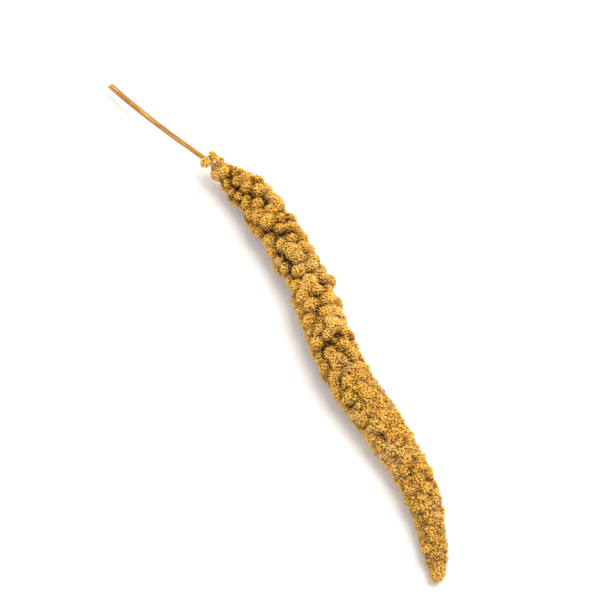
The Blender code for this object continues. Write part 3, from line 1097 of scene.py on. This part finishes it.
def cut_slanting(mesh):
    """Cuts the straw's end off at a slant, leaving a rim round the shrunken pith."""
    work = bmesh.new()
    work.from_mesh(mesh)
    bmesh.ops.remove_doubles(work, verts=work.verts, dist=MERGE)
    at = round(CUT_AT / WALK_STEP)
    along = Vector(TANGENTS[at])
    slanting = Matrix.Rotation(SLANT, 3, UP.cross(along).normalized()) @ along
    everything = work.verts[:] + work.edges[:] + work.faces[:]
    cut = bmesh.ops.bisect_plane(
        work, geom=everything, dist=CUT_SNAP, plane_co=LINE[at], plane_no=-slanting, clear_outer=True
    )
    edges = [piece for piece in cut["geom_cut"] if isinstance(piece, bmesh.types.BMEdge)]
    caps = bmesh.ops.holes_fill(work, edges=edges, sides=0)["faces"]
    skin = set(work.faces) - set(caps)
    for share, push in CUT_RINGS:
        caps = bmesh.ops.extrude_discrete_faces(work, faces=caps)["faces"]
        centre = caps[0].calc_center_median()
        spokes = [corner.co - centre for corner in caps[0].verts]
        radii = [(spoke - along * spoke.dot(along)).length for spoke in spokes]
        for corner, spoke, radius in zip(caps[0].verts, spokes, radii):
            corner.co = centre + spoke * share * sum(radii) / len(radii) / radius + along * push
        if push == 0:
            skin_and_rim = set(work.faces) - set(caps)
    bmesh.ops.poke(work, faces=caps)
    for face in work.faces:
        face.smooth = face in skin
        face.material_index = int(face not in skin_and_rim)
    bmesh.ops.recalc_face_normals(work, faces=work.faces)
    work.to_mesh(mesh)
    work.free()


straw.data.materials.append(PITH)
cut_slanting(straw.data)
print("Straw:", triangles(straw), "triangles")

# %% [markdown]
# ## Put the pieces on the body
#
# Each piece rides on the one body, and the solid that it stands for is hidden.

# %% Put the pieces on the body and hide their solids
for piece in (*seeds, *dry_bits, bed):
    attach(piece, "root")
    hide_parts("seed_head")
for piece in (straw, twigs):
    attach(piece, "root")
    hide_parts("stalk")
print("Dressed:", ", ".join(sorted(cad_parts)))

# %% [markdown]
# ## Light, floor and camera
#
# The head lies on a white table under soft daylight from the upper right of the picture. A wide
# soft sun gives the blurred shadows between the clusters, a weak one opposite keeps them from
# going black, and a pale sky fills the rest. A long lens a good way off keeps the two ends of a
# long thin thing the same size.

# %% Set up the camera and the light
VIEW_AZIMUTH = math.radians(59.3)
VIEW_ELEVATION = math.radians(60)
TARGET = Vector((0.0, 0.0, 0.012))
LENS = 200
FRAME_HEIGHT = 0.325
FAR_END = 60
# Its name, its direction to the right, away and up, its spread in degrees, strength and colour
SUNS = (
    ("key", (0.55, 0.4, 1.3), 48, 3.0, "#fff9f0"),
    ("fill", (-0.8, -0.6, 0.8), 60, 0.35, "#f6f8ff"),
)
SKY_SHADE = "#f8f9fb"
SKY_STRENGTH = 0.72


def aim(obj, place, target):
    """Puts a lamp or camera at a place, looking at a target."""
    obj.location = place
    obj.rotation_euler = (place - target).to_track_quat("Z", "Y").to_euler()
    scene.collection.objects.link(obj)


right = Vector((math.cos(VIEW_AZIMUTH), math.sin(VIEW_AZIMUTH), 0))
away = Vector((-math.sin(VIEW_AZIMUTH), math.cos(VIEW_AZIMUTH), 0))
back = UP * math.sin(VIEW_ELEVATION) - away * math.cos(VIEW_ELEVATION)

camera = bpy.data.cameras.new("camera")
camera.lens = LENS
camera.clip_end = FAR_END
camera_object = bpy.data.objects.new("camera", camera)
aim(camera_object, TARGET + back * (FRAME_HEIGHT * LENS / camera.sensor_width), TARGET)
scene.camera = camera_object
scene.view_settings.view_transform = "Standard"

for name, (across, off, above), spread, strength, code in SUNS:
    sun = bpy.data.lights.new(name, "SUN")
    sun.angle = math.radians(spread)
    sun.energy = strength
    sun.color = linear(code)[:3]
    aim(bpy.data.objects.new(name, sun), right * across + away * off + UP * above, Vector())

sky = bpy.data.worlds.new("soft_sky")
sky.use_nodes = True
glow = sky.node_tree.nodes["Background"].inputs
glow["Color"].default_value = linear(SKY_SHADE)
glow["Strength"].default_value = SKY_STRENGTH
scene.world = sky
print("Camera at", np.round(camera_object.location, 2), "m")

# %% Lay the table
TABLE_HALF = 12
TABLE_DROP = 0.05 * MM

corners = [(x * TABLE_HALF, y * TABLE_HALF, -TABLE_DROP) for x, y in ((-1, -1), (1, -1), (1, 1), (-1, 1))]
table = bpy.data.meshes.new("floor")
table.from_pydata(corners, [], [range(len(corners))])
# Matt white card shows soft shadows and no gloss
card = finished(new_material("white_card")[0], {"Base Color": linear("#fafafa"), "Roughness": 0.9})
table.materials.append(card)
floor = bpy.data.objects.new("floor", table)
scene.collection.objects.link(floor)
print("Table:", [round(side, 1) for side in floor.dimensions], "m")
